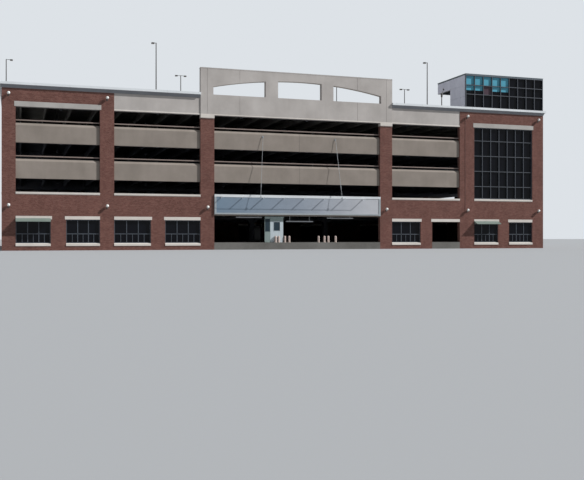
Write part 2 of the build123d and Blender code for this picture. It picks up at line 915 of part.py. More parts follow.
def trim_nodes(doorway):
    """Sills, lintels, parapet panels and cornices of every side."""
    front_bays = bays_of(front_row)
    sills = placed(front_place, [guard_sill(*front_bays[n]) for n in (0, 1, 3, 4)])
    bands = placed(front_place, [top_band(*front_bays[n]) for n in (1, 3)])
    for place, row in ((left_place, side_row), (right_place, side_row), (back_place, back_row)):
        sills += placed(place, [guard_sill(a, b) for a, b in bays_of(row)])
        bands += placed(place, [top_band(a, b) for a, b in bays_of(row)])
    lintels = [place * window_lintel(*window, *bay) for place, window, bay in wall_windows()]
    lintels.append(front_place * window_lintel(*doorway, *front_bays[3]))
    lintels += placed(front_place, [end_lintel(*front_bays[n]) for n in (0, 4)])
    reach = cornice_overhang
    screen_left = entrance_left - entrance_column
    screen_right = entrance_right + entrance_column
    half = depth / 2 + reach
    return {
        "guard_sills": sills,
        "top_bands": bands,
        "lintels": lintels,
        "window_sills": [place * window_sill(*window) for place, window, bay in wall_windows()],
        "cornices": [front_place * cornice(x_left - reach, screen_left, True, False),
                     front_place * cornice(screen_right, x_right + reach, False, True),
                     left_place * cornice(-half, half, True, True),
                     right_place * cornice(-half, half, True, True),
                     back_place * cornice(x_left - reach, x_right + reach, True, True)]}


def glazing_nodes():
    """Window frames, glass and the two small awnings."""
    bays = bays_of(front_row)
    frame, glass = curtain_window(*bays[4])
    windows = wall_windows()
    left_window = window_pair(*bays[0])[0]
    right_window = window_pair(*bays[4])[0]
    return {
        "curtain_window_frame": [front_place * frame],
        "curtain_window_glass": [front_place * glass],
        "ground_window_frames": [place * ground_frame(*window) for place, window, bay in windows],
        "ground_window_glass": [place * ground_glass(*window) for place, window, bay in windows],
        "window_awnings": placed(front_place, [awning(*left_window), awning(*right_window)])}


def roof_nodes():
    """The penthouse and the lamps."""
    frame, glass = penthouse_window()
    ends = posts_of(front_row, "pier")
    columns = posts_of(front_row, "column")
    lights = [wall_light((a + b) / 2, lower_light_height) for a, b in ends + columns]
    lights += [wall_light((a + b) / 2, upper_light_height) for a, b in ends]
    return {
        "penthouse_walls": [penthouse_walls()],
        "penthouse_roof": [penthouse_roof()],
        "penthouse_window_frame": [front_place * frame],
        "penthouse_window_glass": [front_place * glass],
        "wall_lights": placed(front_place, lights),
        "roof_lamps": roof_lamps()}


def car_park():
    """Every node of the car park, by name."""
    doorway = window_pair(*bays_of(front_row)[3])[1]
    nodes = structure_nodes(doorway)
    nodes.update(front_nodes(doorway))
    nodes.update(side_nodes())
    nodes.update(trim_nodes(doorway))
    nodes.update(glazing_nodes())
    nodes.update(roof_nodes())
    return nodes


os.makedirs("parts", exist_ok=True)
for name, solids in car_park().items():
    shape = solids[0] if len(solids) == 1 else Compound(children=solids)
    export_step(shape, f"parts/{name}.step")
    print(name, len(solids))
print("length", length, "depth", depth, "origin to front", y_front)
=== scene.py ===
# %% [markdown]
# A multi storey car park, dressed. Its solids are already made, at half of the real size.
# This lesson gives each of them its finish and adds what is too fine for them. Everything is
# in metres in the model's own frame: X runs along the front, the front faces -Y, and Z is up.

import math
import random

import bmesh
import bpy
from mathutils import Matrix, Vector


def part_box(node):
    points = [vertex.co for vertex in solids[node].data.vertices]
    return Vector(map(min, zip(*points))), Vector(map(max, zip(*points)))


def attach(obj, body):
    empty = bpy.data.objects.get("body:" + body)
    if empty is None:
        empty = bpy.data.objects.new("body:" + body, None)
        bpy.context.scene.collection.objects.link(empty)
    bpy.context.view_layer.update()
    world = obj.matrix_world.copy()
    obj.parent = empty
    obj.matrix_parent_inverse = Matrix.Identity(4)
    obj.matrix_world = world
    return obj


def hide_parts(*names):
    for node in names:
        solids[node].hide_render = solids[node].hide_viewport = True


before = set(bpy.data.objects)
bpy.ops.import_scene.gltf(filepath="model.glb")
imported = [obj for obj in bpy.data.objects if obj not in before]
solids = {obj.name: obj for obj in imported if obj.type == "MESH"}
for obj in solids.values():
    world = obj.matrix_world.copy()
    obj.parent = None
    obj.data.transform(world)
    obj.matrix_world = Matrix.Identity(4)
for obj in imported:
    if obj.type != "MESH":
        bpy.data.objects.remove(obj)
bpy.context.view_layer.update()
MM = 0.001
HALF = 0.5
link = bpy.context.scene.collection.objects.link
print("solids loaded:", len(solids))

# %% [markdown]
# Sizes of the new pieces are millimetres of this half-size model. A size of the real thing is
# multiplied by HALF. The places of walls, decks and windows are read from the solids, so that
# a new piece follows the building. A node can hold many solids, such as every window frame,
# so one helper finds the box of each of them by walking along the mesh.

# %% Read the separate solids of a node
def mm(*sizes):
    """Sizes in millimetres, as metres."""
    return [size * MM for size in sizes]


def corners_of(points):
    """The lowest and the highest corner of some points."""
    return (Vector(min(point[n] for point in points) for n in range(3)),
            Vector(max(point[n] for point in points) for n in range(3)))


def solids_of(name):
    """The two corners of each separate solid of a node."""
    bm = bmesh.new()
    bm.from_mesh(solids[name].data)
    bmesh.ops.remove_doubles(bm, verts=bm.verts, dist=0.01 * MM)
    waiting = set(bm.verts)
    boxes = []
    while waiting:
        to_walk = [waiting.pop()]
        found = []
        while to_walk:
            vert = to_walk.pop()
            found.append(vert.co.copy())
            neighbours = {edge.other_vert(vert) for edge in vert.link_edges} & waiting
            waiting -= neighbours
            to_walk += neighbours
        boxes.append(corners_of(found))
    bm.free()
    return sorted(boxes, key=lambda box: tuple(box[0]))


window_frames = solids_of("ground_window_frames")
print("ground floor windows:", len(window_frames))

# %% [markdown]
# Each wall has its own plain coordinates, as on a drawing of that wall: x runs to the right
# for someone outside, y goes into the wall from its face, and z is up. A matrix takes them to
# the building, so a piece that is drawn once fits on all four walls.

# %% The four walls
move = Matrix.Translation
quarter = math.pi / 2
x_left, x_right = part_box("front_piers")[0].x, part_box("front_piers")[1].x
y_front, y_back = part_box("front_piers")[0].y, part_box("back_piers")[1].y
y_middle = (y_front + y_back) / 2
floor_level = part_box("ground_slab")[1].z
walls = {wall: move((x, y, 0)) @ Matrix.Rotation(turn, 4, "Z") for wall, x, y, turn in (
    ("front", 0, y_front, 0), ("back", 0, y_back, 2 * quarter),
    ("left", x_left, y_middle, -quarter), ("right", x_right, y_middle, quarter))}
front = walls["front"]


def on_wall(wall, box):
    """A box in the building, as its two corners on the drawing of one wall."""
    back = walls[wall].inverted()
    return corners_of([back @ corner for corner in box])


def drawn(wall, name):
    """The separate solids of a node, as boxes on the drawing of one wall."""
    return [on_wall(wall, box) for box in solids_of(name)]


def wall_of(box):
    """The name of the wall that a thin solid stands in."""
    middle = (box[0] + box[1]) / 2
    reach = {"front": middle.y - y_front, "back": y_back - middle.y,
             "left": middle.x - x_left, "right": x_right - middle.x}
    return min(reach, key=reach.get)


print("front", round(y_front, 3), "back", round(y_back, 3), "floor", round(floor_level, 3))

# %% [markdown]
# New pieces are built with bmesh operators. Most are folded sheet, bar or cast parts, whose
# edges are never quite sharp, so the box helper can take them off with a small bevel. A
# finished piece keeps its object at the origin, rides on the building's one body, and says
# which finish it has.

# %% Build shapes
def add_box(bm, low, high, place=Matrix(), bevel_mm=0):
    """A box between two corners, with its edges taken off if a bevel is given."""
    low, high = Vector(low), Vector(high)
    fit = place @ move((low + high) / 2) @ Matrix.Diagonal((*(high - low), 1.0))
    verts = bmesh.ops.create_cube(bm, size=1.0, matrix=fit)["verts"]
    if bevel_mm:
        edges = list({edge for vert in verts for edge in vert.link_edges})
        bmesh.ops.bevel(bm, geom=edges, offset=bevel_mm * MM, offset_type="OFFSET",
                        affect="EDGES", segments=1, profile=0.5, material=-1)


def rim(low, high, side, foot=None, head=None):
    """The four strips along the edges of a rectangle."""
    (x0, z0), (x1, z1) = low, high
    return [((x0, z0), (x0 + side, z1)), ((x1 - side, z0), (x1, z1)),
            ((x0, z0), (x1, z0 + (foot or side))), ((x0, z1 - (head or side)), (x1, z1))]


def add_folded_cap(bm, low, high, thick, bevel_mm):
    """A sheet on top, turned down over all four edges."""
    add_box(bm, (low[0], low[1], high[2] - thick), high, bevel_mm=bevel_mm)
    for a, b in rim(low[:2], high[:2], thick):
        add_box(bm, (*a, low[2]), (*b, high[2]), bevel_mm=bevel_mm)


def add_rod(bm, start, end, radius_mm, place=Matrix(), sides=12, end_mm=None):
    """A round or tapered rod between two points."""
    start, end = Vector(start), Vector(end)
    line = end - start
    turn = line.to_track_quat("Z", "Y").to_matrix().to_4x4()
    fit = place @ move((start + end) / 2) @ turn
    bmesh.ops.create_cone(bm, cap_ends=True, segments=sides, radius1=radius_mm * MM,
                          radius2=(end_mm or radius_mm) * MM, depth=line.length, matrix=fit)


def add_turned(bm, profile_mm, place=Matrix(), sides=24):
    """A turned shape: (radius, height) points in mm, spun once round the upright axis."""
    verts = [bm.verts.new(place @ Vector((r * MM, 0, h * MM))) for r, h in profile_mm]
    edges = [bm.edges.new(pair) for pair in zip(verts[:-1], verts[1:])]
    axis = place.to_3x3() @ Vector((0, 0, 1))
    bmesh.ops.spin(bm, geom=verts + edges, cent=place.translation, axis=axis,
                   angle=2 * math.pi, steps=sides, use_merge=True)


def finish_piece(name, bm, material, replaces=(), smooth=False):
    """Turn a bmesh into a piece of the building."""
    bmesh.ops.remove_doubles(bm, verts=bm.verts, dist=0.001 * MM)
    bmesh.ops.recalc_face_normals(bm, faces=bm.faces)
    mesh = bpy.data.meshes.new(name)
    bm.to_mesh(mesh)
    bm.free()
    mesh.materials.append(material)
    if smooth:
        mesh.shade_smooth()
        mesh.set_sharp_from_angle(angle=math.radians(35))
    piece = bpy.data.objects.new(name, mesh)
    link(piece)
    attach(piece, "root")
    if replaces:
        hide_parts(*replaces)
    print(name, "triangles", sum(len(face.vertices) - 2 for face in mesh.polygons))


# %% [markdown]
# Every finish starts as a principled shader with the plain colour, roughness and metalness of
# the real material. Colours are written as they look on a screen, in sRGB hex, and one
# function makes them linear, as a shader needs them. One more adds a node, fills its inputs
# and links them.

# %% Start a material
def linear(code):
    """An sRGB hex colour as linear red, green, blue and alpha."""
    shares = [int(code[n:n + 2], 16) / 255 for n in (1, 3, 5)]
    return [s / 12.92 if s <= 0.04045 else ((s + 0.055) / 1.055) ** 2.4 for s in shares] + [1.0]


def node(tree, kind, inputs=None, **settings):
    """Add one node: its settings by name, and its inputs as values or as links."""
    added = tree.nodes.new("ShaderNode" + kind)
    for name, value in settings.items():
        setattr(added, name, value)
    for name, value in (inputs or {}).items():
        if isinstance(value, bpy.types.NodeSocket):
            tree.links.new(value, added.inputs[name])
        else:
            added.inputs[name].default_value = value
    return added


def place_in(tree):
    """The object coordinates of a material."""
    return tree.nodes["Texture Coordinate"].outputs["Object"]


def shade(tree, output, name="Base Color"):
    """Link an output to an input of the shader."""
    tree.links.new(output, tree.nodes["Principled BSDF"].inputs[name])


def start_material(name, colour, roughness, metallic=0.0, specular=0.5):
    """A material with its plain values, and its node tree."""
    material = bpy.data.materials.new(name)
    material.use_nodes = True
    tree = material.node_tree
    node(tree, "TexCoord")
    for socket, value in (("Base Color", linear(colour)), ("Roughness", roughness),
                          ("Metallic", metallic), ("Specular IOR Level", specular)):
        tree.nodes["Principled BSDF"].inputs[socket].default_value = value
    return material, tree


def dress(material, *names):
    """Give nodes of the solid model a finish."""
    for name in names:
        slots = solids[name].material_slots
        if not slots:
            solids[name].data.materials.append(material)
        for each in slots:
            each.material = material
    print(material.name, "on", ", ".join(names))


# %% [markdown]
# Weather and handwork show as soft changes of tone. A noise texture gives them: its scale is
# one over the size of a patch, and a colour ramp turns it into tones between two colours.
# Rain runs straight down a wall, so noise that is squeezed along z gives streaks. Greys laid
# over a colour as an overlay darken or lighten it: #bcbcbc, a half in linear light, is no
# change.

# %% Patches, streaks and grain
def clouded(tree, size_mm, dark, light, stretch=(1, 1, 1), detail=3.0):
    """Tones between two colours, in patches of about the given size."""
    mapped = node(tree, "Mapping", {"Vector": place_in(tree), "Scale": stretch}).outputs["Vector"]
    noise = node(tree, "TexNoise", {"Vector": mapped, "Scale": 1 / (size_mm * MM),
                                    "Detail": detail, "Roughness": 0.6})
    ramp = node(tree, "ValToRGB", {"Fac": noise.outputs["Fac"]})
    for stop, at, tone in zip(ramp.color_ramp.elements, (0.3, 0.7), (dark, light)):
        stop.position, stop.color = at, linear(tone)
    return ramp.outputs["Color"]


def weathered(tree, base, *layers):
    """A colour under layers: each has a share, then what a clouded tone is made of."""
    for share, *patches in layers:
        colours = {"Fac": share, "Color1": base, "Color2": clouded(tree, *patches)}
        base = node(tree, "MixRGB", colours, blend_type="OVERLAY").outputs["Color"]
    return base


def grained(tree, grain_mm, depth_mm, strength=0.6):
    """A fine bump of the given grain size and depth."""
    noise = node(tree, "TexNoise", {"Vector": place_in(tree), "Scale": 1 / (grain_mm * MM),
                                    "Detail": 2.0})
    bump = node(tree, "Bump", {"Height": noise.outputs["Fac"], "Strength": strength,
                               "Distance": depth_mm * MM})
    shade(tree, bump.outputs["Normal"], "Normal")


def coat(name, roughness, patches, grain, *layers, metallic=0.0, specular=0.5):
    """A whole finish: soft patches of tone, layers over them, and a grain."""
    material, tree = start_material(name, patches[2], roughness, metallic, specular)
    shade(tree, weathered(tree, clouded(tree, *patches), *layers))
    grained(tree, *grain)
    return material


def above(tree, level, under, over):
    """One tone below a level, and another above it."""
    height = node(tree, "SeparateXYZ", {"Vector": place_in(tree)}).outputs["Z"]
    high = node(tree, "Math", {0: height, 1: level}, operation="GREATER_THAN").outputs[0]
    return node(tree, "MixRGB", {"Fac": high, "Color1": under, "Color2": over}).outputs["Color"]


# %% [markdown]
# The walls are red clay brick in half bond with pale mortar. A real brick with its joint is
# 203 x 68 mm. The pattern runs along a wall by x + y, which grows along any wall, and up by
# z. The texture chooses between two colours for each brick, as each was fired differently.
# The joints lie a little back: a bump draws them.

# %% Red brickwork
brick_length, brick_course, brick_joint = mm(203 * HALF, 68 * HALF, 10 * HALF)
red_brickwork, tree = start_material("red_clay_brickwork", "#6a4039", 0.9, specular=0.2)
parts = node(tree, "SeparateXYZ", {"Vector": place_in(tree)}).outputs
along = node(tree, "Math", {0: parts["X"], 1: parts["Y"]}, operation="ADD").outputs[0]
on_face = node(tree, "CombineXYZ", {"X": along, "Y": parts["Z"]}).outputs[0]
bricks = node(tree, "TexBrick", {
    "Vector": on_face, "Color1": linear("#643f38"), "Color2": linear("#7d564d"),
    "Mortar": linear("#8f7e75"), "Scale": 1.0, "Brick Width": brick_length, "Bias": -0.1,
    "Row Height": brick_course, "Mortar Size": brick_joint / 2, "Mortar Smooth": 0.2}).outputs
loads = (0.6, 900, "#aeaeae", "#c8c8c8")
runs = (0.5, 260, "#b0b0b0", "#c6c6c6", (1, 1, 0.15))
shade(tree, weathered(tree, bricks["Color"], loads, runs))
joints = node(tree, "Bump", {"Height": bricks["Fac"], "Strength": 0.7, "Distance": 3 * MM},
              invert=True)
shade(tree, joints.outputs["Normal"], "Normal")
dress(red_brickwork, "front_piers", "entrance_columns", "front_base_walls", "brick_heads",
      "left_piers", "left_base_walls", "right_piers", "right_base_walls", "back_piers",
      "back_base_walls")

# %% [markdown]
# The pale pieces are precast concrete with a white cement face, washed with acid after
# casting, which leaves a fine sandy skin. The spandrels are a second mix with a taupe pigment
# and a coarser sand. The lintels are of the white mix, but the upper ones have greyed: one
# material does both, and chooses by height.

# %% Precast concrete
def precast(name, dark, light, grain_mm, streak_dark):
    """Washed precast concrete with soft patches, rain streaks and a sandy grain."""
    streaks = (0.3, 420, streak_dark, "#c2c2c2", (1, 1, 0.12))
    sand = (0.5, grain_mm, "#b2b2b2", "#c6c6c6", (1, 1, 1), 1.0)
    return coat(name, 0.82, (1100, dark, light), (grain_mm, 0.8), streaks, sand, specular=0.25)


white_mix = ("#d2cbc3", "#dfd8d0", 10, "#b0b0b0")
light_precast = precast("acid_washed_precast", "#b0aaa5", "#c1bbb6", 14, "#aeaeae")
bright_precast = precast("white_cement_precast", *white_mix)
taupe_precast = precast("taupe_precast", "#8a8178", "#998f86", 18, "#acacac")
lintel_precast = precast("two_tone_lintel_precast", *white_mix)
dress(light_precast, "arched_screen", "top_bands")
dress(bright_precast, "guard_sills", "window_sills", "column_caps")
dress(taupe_precast, "front_spandrels", "left_spandrels", "right_spandrels", "back_spandrels")
dress(lintel_precast, "lintels")

tree = lintel_precast.node_tree
young = tree.nodes["Principled BSDF"].inputs["Base Color"].links[0].from_socket
aged = clouded(tree, 700, "#aaa6a1", "#b9b5b0")
half_way_up = 4.0
shade(tree, above(tree, half_way_up, young, aged))

# %% [markdown]
# Inside, the decks are structural concrete, grey after years of exhaust, and so little light
# gets in that from outside they are nearly black. The ground slab was poured later and is
# warmer. The roof deck lies in the sun and is bleached, with tyre tracks along the lanes.

# %% Structural concrete
speckle, rough_grain = (0.5, 60, "#aeaeae", "#c8c8c8"), (9, 0.8)
tracks = (0.6, 420, "#a8a8a8", "#c4c4c4", (0.12, 1, 1))
structure = coat("sooty_structural_concrete", 0.9, (1400, "#66686e", "#707278"),
                 rough_grain, speckle, specular=0.1)
ground_concrete = coat("broomed_ground_slab", 0.9, (1200, "#6a6864", "#7c7a76"),
                       rough_grain, speckle, specular=0.1)
roof_topping = coat("bleached_roof_topping", 0.86, (1300, "#96928b", "#aaa69f"),
                    rough_grain, tracks, specular=0.2)
dress(structure, "deck_level_2", "deck_level_3", "deck_level_4", "interior_columns", "floor_beams")
dress(ground_concrete, "ground_slab")
dress(roof_topping, "roof_deck")

# %% [markdown]
# The cornice is folded sheet with a baked white coating. Its soffit slopes back from the foot
# of the white edge to the wall and faces down, out of the sun, so it is painted grey as painted
# shade. One material does both, and chooses by height, because the fold is level. Sheet was
# rolled flat, so it is smooth, with a slight waviness that shows only in what it reflects. The
# canopy's sheet is painted darker and bluer towards the left as painted shade, and grows paler
# to the right, where the sun reaches it.

# %% Painted sheet metal
def sheet(name, light, dark, roughness, metallic=0.0):
    """Smooth coated sheet with faint dirt and a slight waviness."""
    return coat(name, roughness, (700, dark, light, (1, 1, 0.4)), (350, 1.2, 0.3),
                metallic=metallic)


cornice_edge = 110 * MM
cornice_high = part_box("cornices")[1]
cornice_sheet = sheet("coated_cornice_sheet", "#e6eaec", "#d9dddf", 0.45)
tree = cornice_sheet.node_tree
# Painted shade: the soffit under the white edge is painted grey for the shade under the cornice.
soffit = clouded(tree, 700, "#77797e", "#84868b")
white = clouded(tree, 900, "#dde1e3", "#e9edef")
shade(tree, above(tree, cornice_high.z - cornice_edge - 1 * MM, soffit, white))
dress(cornice_sheet, "cornices")

canopy_low, canopy_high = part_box("entrance_canopy")
canopy_sheet_painted_shade = sheet("canopy_sheet_with_painted_shade", "#8a97a2", "#7f8b97", 0.4)
tree = canopy_sheet_painted_shade.node_tree
across = node(tree, "SeparateXYZ", {"Vector": place_in(tree)}).outputs["X"]
share = node(tree, "MapRange", {"Value": across, "From Min": canopy_low.x,
                                "From Max": canopy_high.x})
# Painted shade: the ramp makes the sheet darker and bluer towards the left, where the canopy above
# shades it, and paler to the right, where the sun falls on it.
tone = node(tree, "ValToRGB", {"Fac": share.outputs["Result"]})
tone.color_ramp.elements.new(0.5)
for stop, colour in zip(tone.color_ramp.elements, ("#708496", "#8d96a2", "#bfc0c4")):
    stop.color = linear(colour)
shade(tree, weathered(tree, tone.outputs["Color"], (0.5, 500, "#b2b2b2", "#c4c4c4")))
dress(canopy_sheet_painted_shade, "entrance_canopy")

penthouse_sheet = sheet("violet_grey_anodised_panels", "#bfbfc9", "#b3b3be", 0.5, metallic=0.7)
roof_edge_sheet = sheet("blue_grey_roof_edge_sheet", "#646f76", "#59646b", 0.45)
pipe_paint = sheet("brick_brown_pipe_paint", "#835f56", "#78554d", 0.5)
rail_paint = sheet("brown_rail_paint", "#91827a", "#82736b", 0.5)
lamp_coating = sheet("dark_bronze_lamp_coating", "#4b4744", "#3f3b39", 0.45)
booth_paint = sheet("pale_booth_paint", "#c4ced2", "#b5bfc4", 0.45)
booth_roof_paint = sheet("grey_green_booth_roof_paint", "#8d9b98", "#7f8d8a", 0.45)
bar_paint = sheet("grey_clearance_bar_paint", "#b4b7ba", "#a5a8ab", 0.5)
bollard_coat = sheet("pale_bollard_paint", "#c9b7ae", "#b8a69d", 0.5)
awning_sheet = sheet("grey_green_awning_sheet", "#76837c", "#68756e", 0.5)
white_trim = sheet("white_coated_trim", "#e4e8ea", "#d5d9db", 0.4)
# Painted shade: the canopy's end and foot trims are of the white trim's sheet, painted pale grey
# for the canopy's shade on them.
canopy_trim_painted_shade = sheet("canopy_trim_in_painted_shade", "#a9b0b3", "#9ba2a6", 0.4)
dress(penthouse_sheet, "penthouse_walls")
dress(roof_edge_sheet, "penthouse_roof")
dress(booth_paint, "entrance_booth")
dress(awning_sheet, "window_awnings")

# %% [markdown]
# The window bars are extruded aluminium with a dark grey anodised skin. The solar glass looks
# almost black from outside, because the rooms behind it are dark. It is made opaque and
# glossy: a see-through pane would show the empty inside of the model. Glass is never quite
# flat, so a very long, low bump bends what it reflects.

# %% Window metal, glass and small finishes
def pane_glass(name, light, dark):
    """Smooth opaque glass with a faint long wave."""
    return coat(name, 0.08, (1200, dark, light), (1500, 2.0, 0.2), specular=0.12)


grey_bars = sheet("grey_anodised_bars", "#50545b", "#454950", 0.45)
window_bars = sheet("dark_blue_steel_window_paint", "#474d55", "#3c424a", 0.45)
night_glass = pane_glass("dark_solar_glass", "#0f1118", "#090a0f")
# Painted reflection: this teal glass stands in for the sky mirrored in the penthouse panes.
sky_reflection_glass = pane_glass("glass_with_painted_sky_reflection", "#62acc2", "#579fb5")
brown_glass = pane_glass("mauve_backed_glass", "#5e4e56", "#504149")
booth_glass = pane_glass("booth_window_glass", "#33414a", "#263239")
dress(grey_bars, "curtain_window_frame", "penthouse_window_frame")
dress(window_bars, "ground_window_frames")
dress(night_glass, "ground_window_glass")
dress(booth_glass, "booth_screen")

rod_metal = coat("galvanised_rod_steel", 0.42, (30, "#8f9294", "#b4b7b9"), (8, 0.3), metallic=0.8)
opal_globe = coat("opal_white_globe", 0.25, (60, "#e4e4df", "#f2f2ee"), (40, 0.3, 0.2))
sealant = coat("grey_joint_sealant", 0.7, (60, "#5f5954", "#736c66"), (12, 0.5), specular=0.3)
line_paint = coat("worn_white_line_paint", 0.7, (90, "#b9b6ad", "#e0ded7"), (12, 0.5), specular=0.3)
print("materials:", len(bpy.data.materials))

# %% [markdown]
# The ground floor windows are steel-framed: two upright bars make three lights, a rail
# crosses them near the middle, and one more short bar divides each light below it. These bars
# are too thin for the solid model. They are set between the frame's face and the glass.

# %% Ground floor window bars
frame_edge, half, half_short, bar_deep, bar_setback = mm(38, 20, 40 / 3, 24, 6)
rail = floor_level + 830 * HALF * MM
bm = bmesh.new()
for box in window_frames:
    wall = wall_of(box)
    low, high = on_wall(wall, box)
    y0 = low.y + bar_setback
    y1 = y0 + bar_deep
    foot, head = low.z + frame_edge, high.z - frame_edge
    a, b = low.x + frame_edge, high.x - frame_edge
    add_box(bm, (a, y0, rail - half), (b, y1, rail + half), walls[wall], 3)
    light = (b - a) / 3
    for n in range(3):
        x = a + n * light
        if n:
            add_box(bm, (x - half, y0, foot), (x + half, y1, head), walls[wall], 3)
        x += light / 2
        add_box(bm, (x - half_short, y0 + 2 * MM, foot), (x + half_short, y1, rail),
                walls[wall], 3)
finish_piece("ground_window_bars", bm, window_bars)

# %% [markdown]
# The tall window and the front of the penthouse are glass walls: a grid of bars under screwed
# caps, with a pane in each opening. The panes never stand quite in one plane, and that makes
# such a wall look like many sheets of glass. So each opening gets its own pane, with a very
# small tilt of its own from a seeded random number.

# %% Glass walls
grid_bar, cap_out, cap_wide, pane_thick = mm(36, 12, 32, 8)
pane_gap, largest_tilt = 1 * MM, 0.25
tilts = random.Random(7)


def glass_wall(name, columns, rails):
    """Add caps over the bars of a glass wall, and find its openings by row and column."""
    low, high = on_wall("front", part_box(name))
    pitch = (high.x - low.x - grid_bar) / columns
    levels = [low.z] + sorted(rails) + [high.z - grid_bar]
    inset = (grid_bar - cap_wide) / 2
    bm = bmesh.new()
    for n in range(columns + 1):
        x = low.x + n * pitch + inset
        add_box(bm, (x, low.y - cap_out, low.z), (x + cap_wide, low.y, high.z), front, 3)
    for level in levels:
        z = level + inset
        add_box(bm, (low.x, low.y - cap_out + 2 * MM, z), (high.x, low.y, z + cap_wide), front, 3)
    finish_piece(name + "_caps", bm, grey_bars)
    holes = {}
    half = grid_bar / 2
    for row, (under, over) in enumerate(zip(levels[:-1], levels[1:])):
        for column in range(columns):
            x = low.x + column * pitch + half
            holes[row, column] = ((x, under + half), (x + pitch, over + half))
    return holes, high.y


def add_pane(bm, hole, y):
    """One pane behind its opening, turned by a fraction of a degree."""
    (x0, z0), (x1, z1) = hole
    lean = Matrix.Rotation(math.radians(tilts.uniform(-largest_tilt, largest_tilt)), 4, "X")
    swing = Matrix.Rotation(math.radians(tilts.uniform(-largest_tilt, largest_tilt)), 4, "Z")
    centre = move(((x0 + x1) / 2, y + pane_thick, (z0 + z1) / 2))
    half = Vector(((x1 - x0) / 2 - pane_gap, pane_thick / 2, (z1 - z0) / 2 - pane_gap))
    add_box(bm, -half, half, front @ centre @ lean @ swing)


first_rail, rail_pitch = mm(735, 825)
curtain_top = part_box("curtain_window_frame")[1].z
curtain_rails = [curtain_top - first_rail - rail_pitch * n for n in range(4)]
holes, y = glass_wall("curtain_window_frame", 7, curtain_rails)
bm = bmesh.new()
for hole in holes.values():
    add_pane(bm, hole, y)
finish_piece("curtain_window_panes", bm, night_glass, ["curtain_window_glass"])

# %% [markdown]
# The penthouse has the same kind of front. Five panes in the top row and four in the middle
# row are painted teal as a painted reflection of the sky, which on the middle ones ends part
# of the way down, one is backed with a mauve-brown board, and the rest are dark.

# %% Penthouse front
roof_low, roof_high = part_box("penthouse_roof")
penthouse_rails = [roof_high.z - down for down in mm(620, 1120)]
holes, y = glass_wall("penthouse_window_frame", 9, penthouse_rails)
backed = (1, 2)
half_painted_reflection = [(1, 0), (1, 1), (1, 3), (1, 4)]
below_reflection_share = 0.45
for hole in half_painted_reflection:
    (x0, z0), (x1, z1) = holes.pop(hole)
    split = z0 + below_reflection_share * (z1 - z0)
    holes["upper", hole] = ((x0, split), (x1, z1))
    holes["lower", hole] = ((x0, z0), (x1, split))
# Painted reflection: the teal panes lie where the sky is mirrored, at the upper left of the glass.
painted_reflection_holes = [(2, n) for n in range(5)] + [("upper", hole) for hole in half_painted_reflection]
dark_holes = [hole for hole in holes if hole not in painted_reflection_holes and hole != backed]
for tint, material, chosen in (("dark", night_glass, dark_holes), ("teal", sky_reflection_glass, painted_reflection_holes),
                               ("brown", brown_glass, [backed])):
    bm = bmesh.new()
    for hole in chosen:
        add_pane(bm, holes[hole], y)
    finish_piece("penthouse_panes_" + tint, bm, material,
                 ["penthouse_window_glass"] if tint == "dark" else [])

# %% [markdown]
# The penthouse side walls are clad in flat metal panels about 1.2 m wide, and a folded cap
# runs round the roof. Panels as separate thin boxes give true open joints, with a shadow in
# them that moves with the light.

# %% Penthouse cladding
panel_thick, gap, panel_wide, front_strip, bare_edge = mm(10, 5, 1230 * HALF, 14, 70)
wall_low, wall_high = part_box("penthouse_walls")


def add_panels(bm, a, b, low, high, place):
    """A row of flat panels from a to b, standing out from y = 0."""
    count = max(1, round((b - a) / panel_wide))
    wide = (b - a) / count
    for n in range(count):
        x = a + n * wide
        add_box(bm, (x + gap, -panel_thick, low + gap), (x + wide - gap, 0, high - gap), place, 2)


bm = bmesh.new()
a, b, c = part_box("penthouse_window_frame")[1].y + front_strip, wall_high.y, roof_high.y
belt = (cornice_high.z + roof_low.z) / 2
panel_top = roof_high.z - bare_edge
for x, turn in ((wall_low.x, -quarter), (wall_high.x, quarter)):
    place = move((x, 0, 0)) @ Matrix.Rotation(turn, 4, "Z")
    room, porch = ((-b, -a), (-c, -b)) if turn < 0 else ((a, b), (b, c))
    add_panels(bm, *room, cornice_high.z, belt, place)
    add_panels(bm, *room, belt, roof_low.z, place)
    for span in (room, porch):
        add_panels(bm, *span, roof_low.z, panel_top, place)
back_of_roof = move((0, roof_high.y, 0)) @ Matrix.Rotation(math.pi, 4, "Z")
add_panels(bm, -roof_high.x, -roof_low.x, roof_low.z, panel_top, back_of_roof)
finish_piece("penthouse_cladding", bm, penthouse_sheet)

bm = bmesh.new()
cap_lap, cap_thick = mm(24, 8)
out = panel_thick + cap_thick
cap_low = (roof_low.x - out, roof_low.y - cap_thick, roof_high.z - cap_lap)
add_folded_cap(bm, cap_low, roof_high + Vector((out, out, cap_thick)), cap_thick, 2)
finish_piece("penthouse_roof_cap", bm, roof_edge_sheet)

# %% [markdown]
# The cornice is made of sheets 3 m long. Where two of them meet, a narrow cover strip is
# folded over the joint: down the white edge and back along the soffit, which slopes from the
# foot of the edge to the wall.

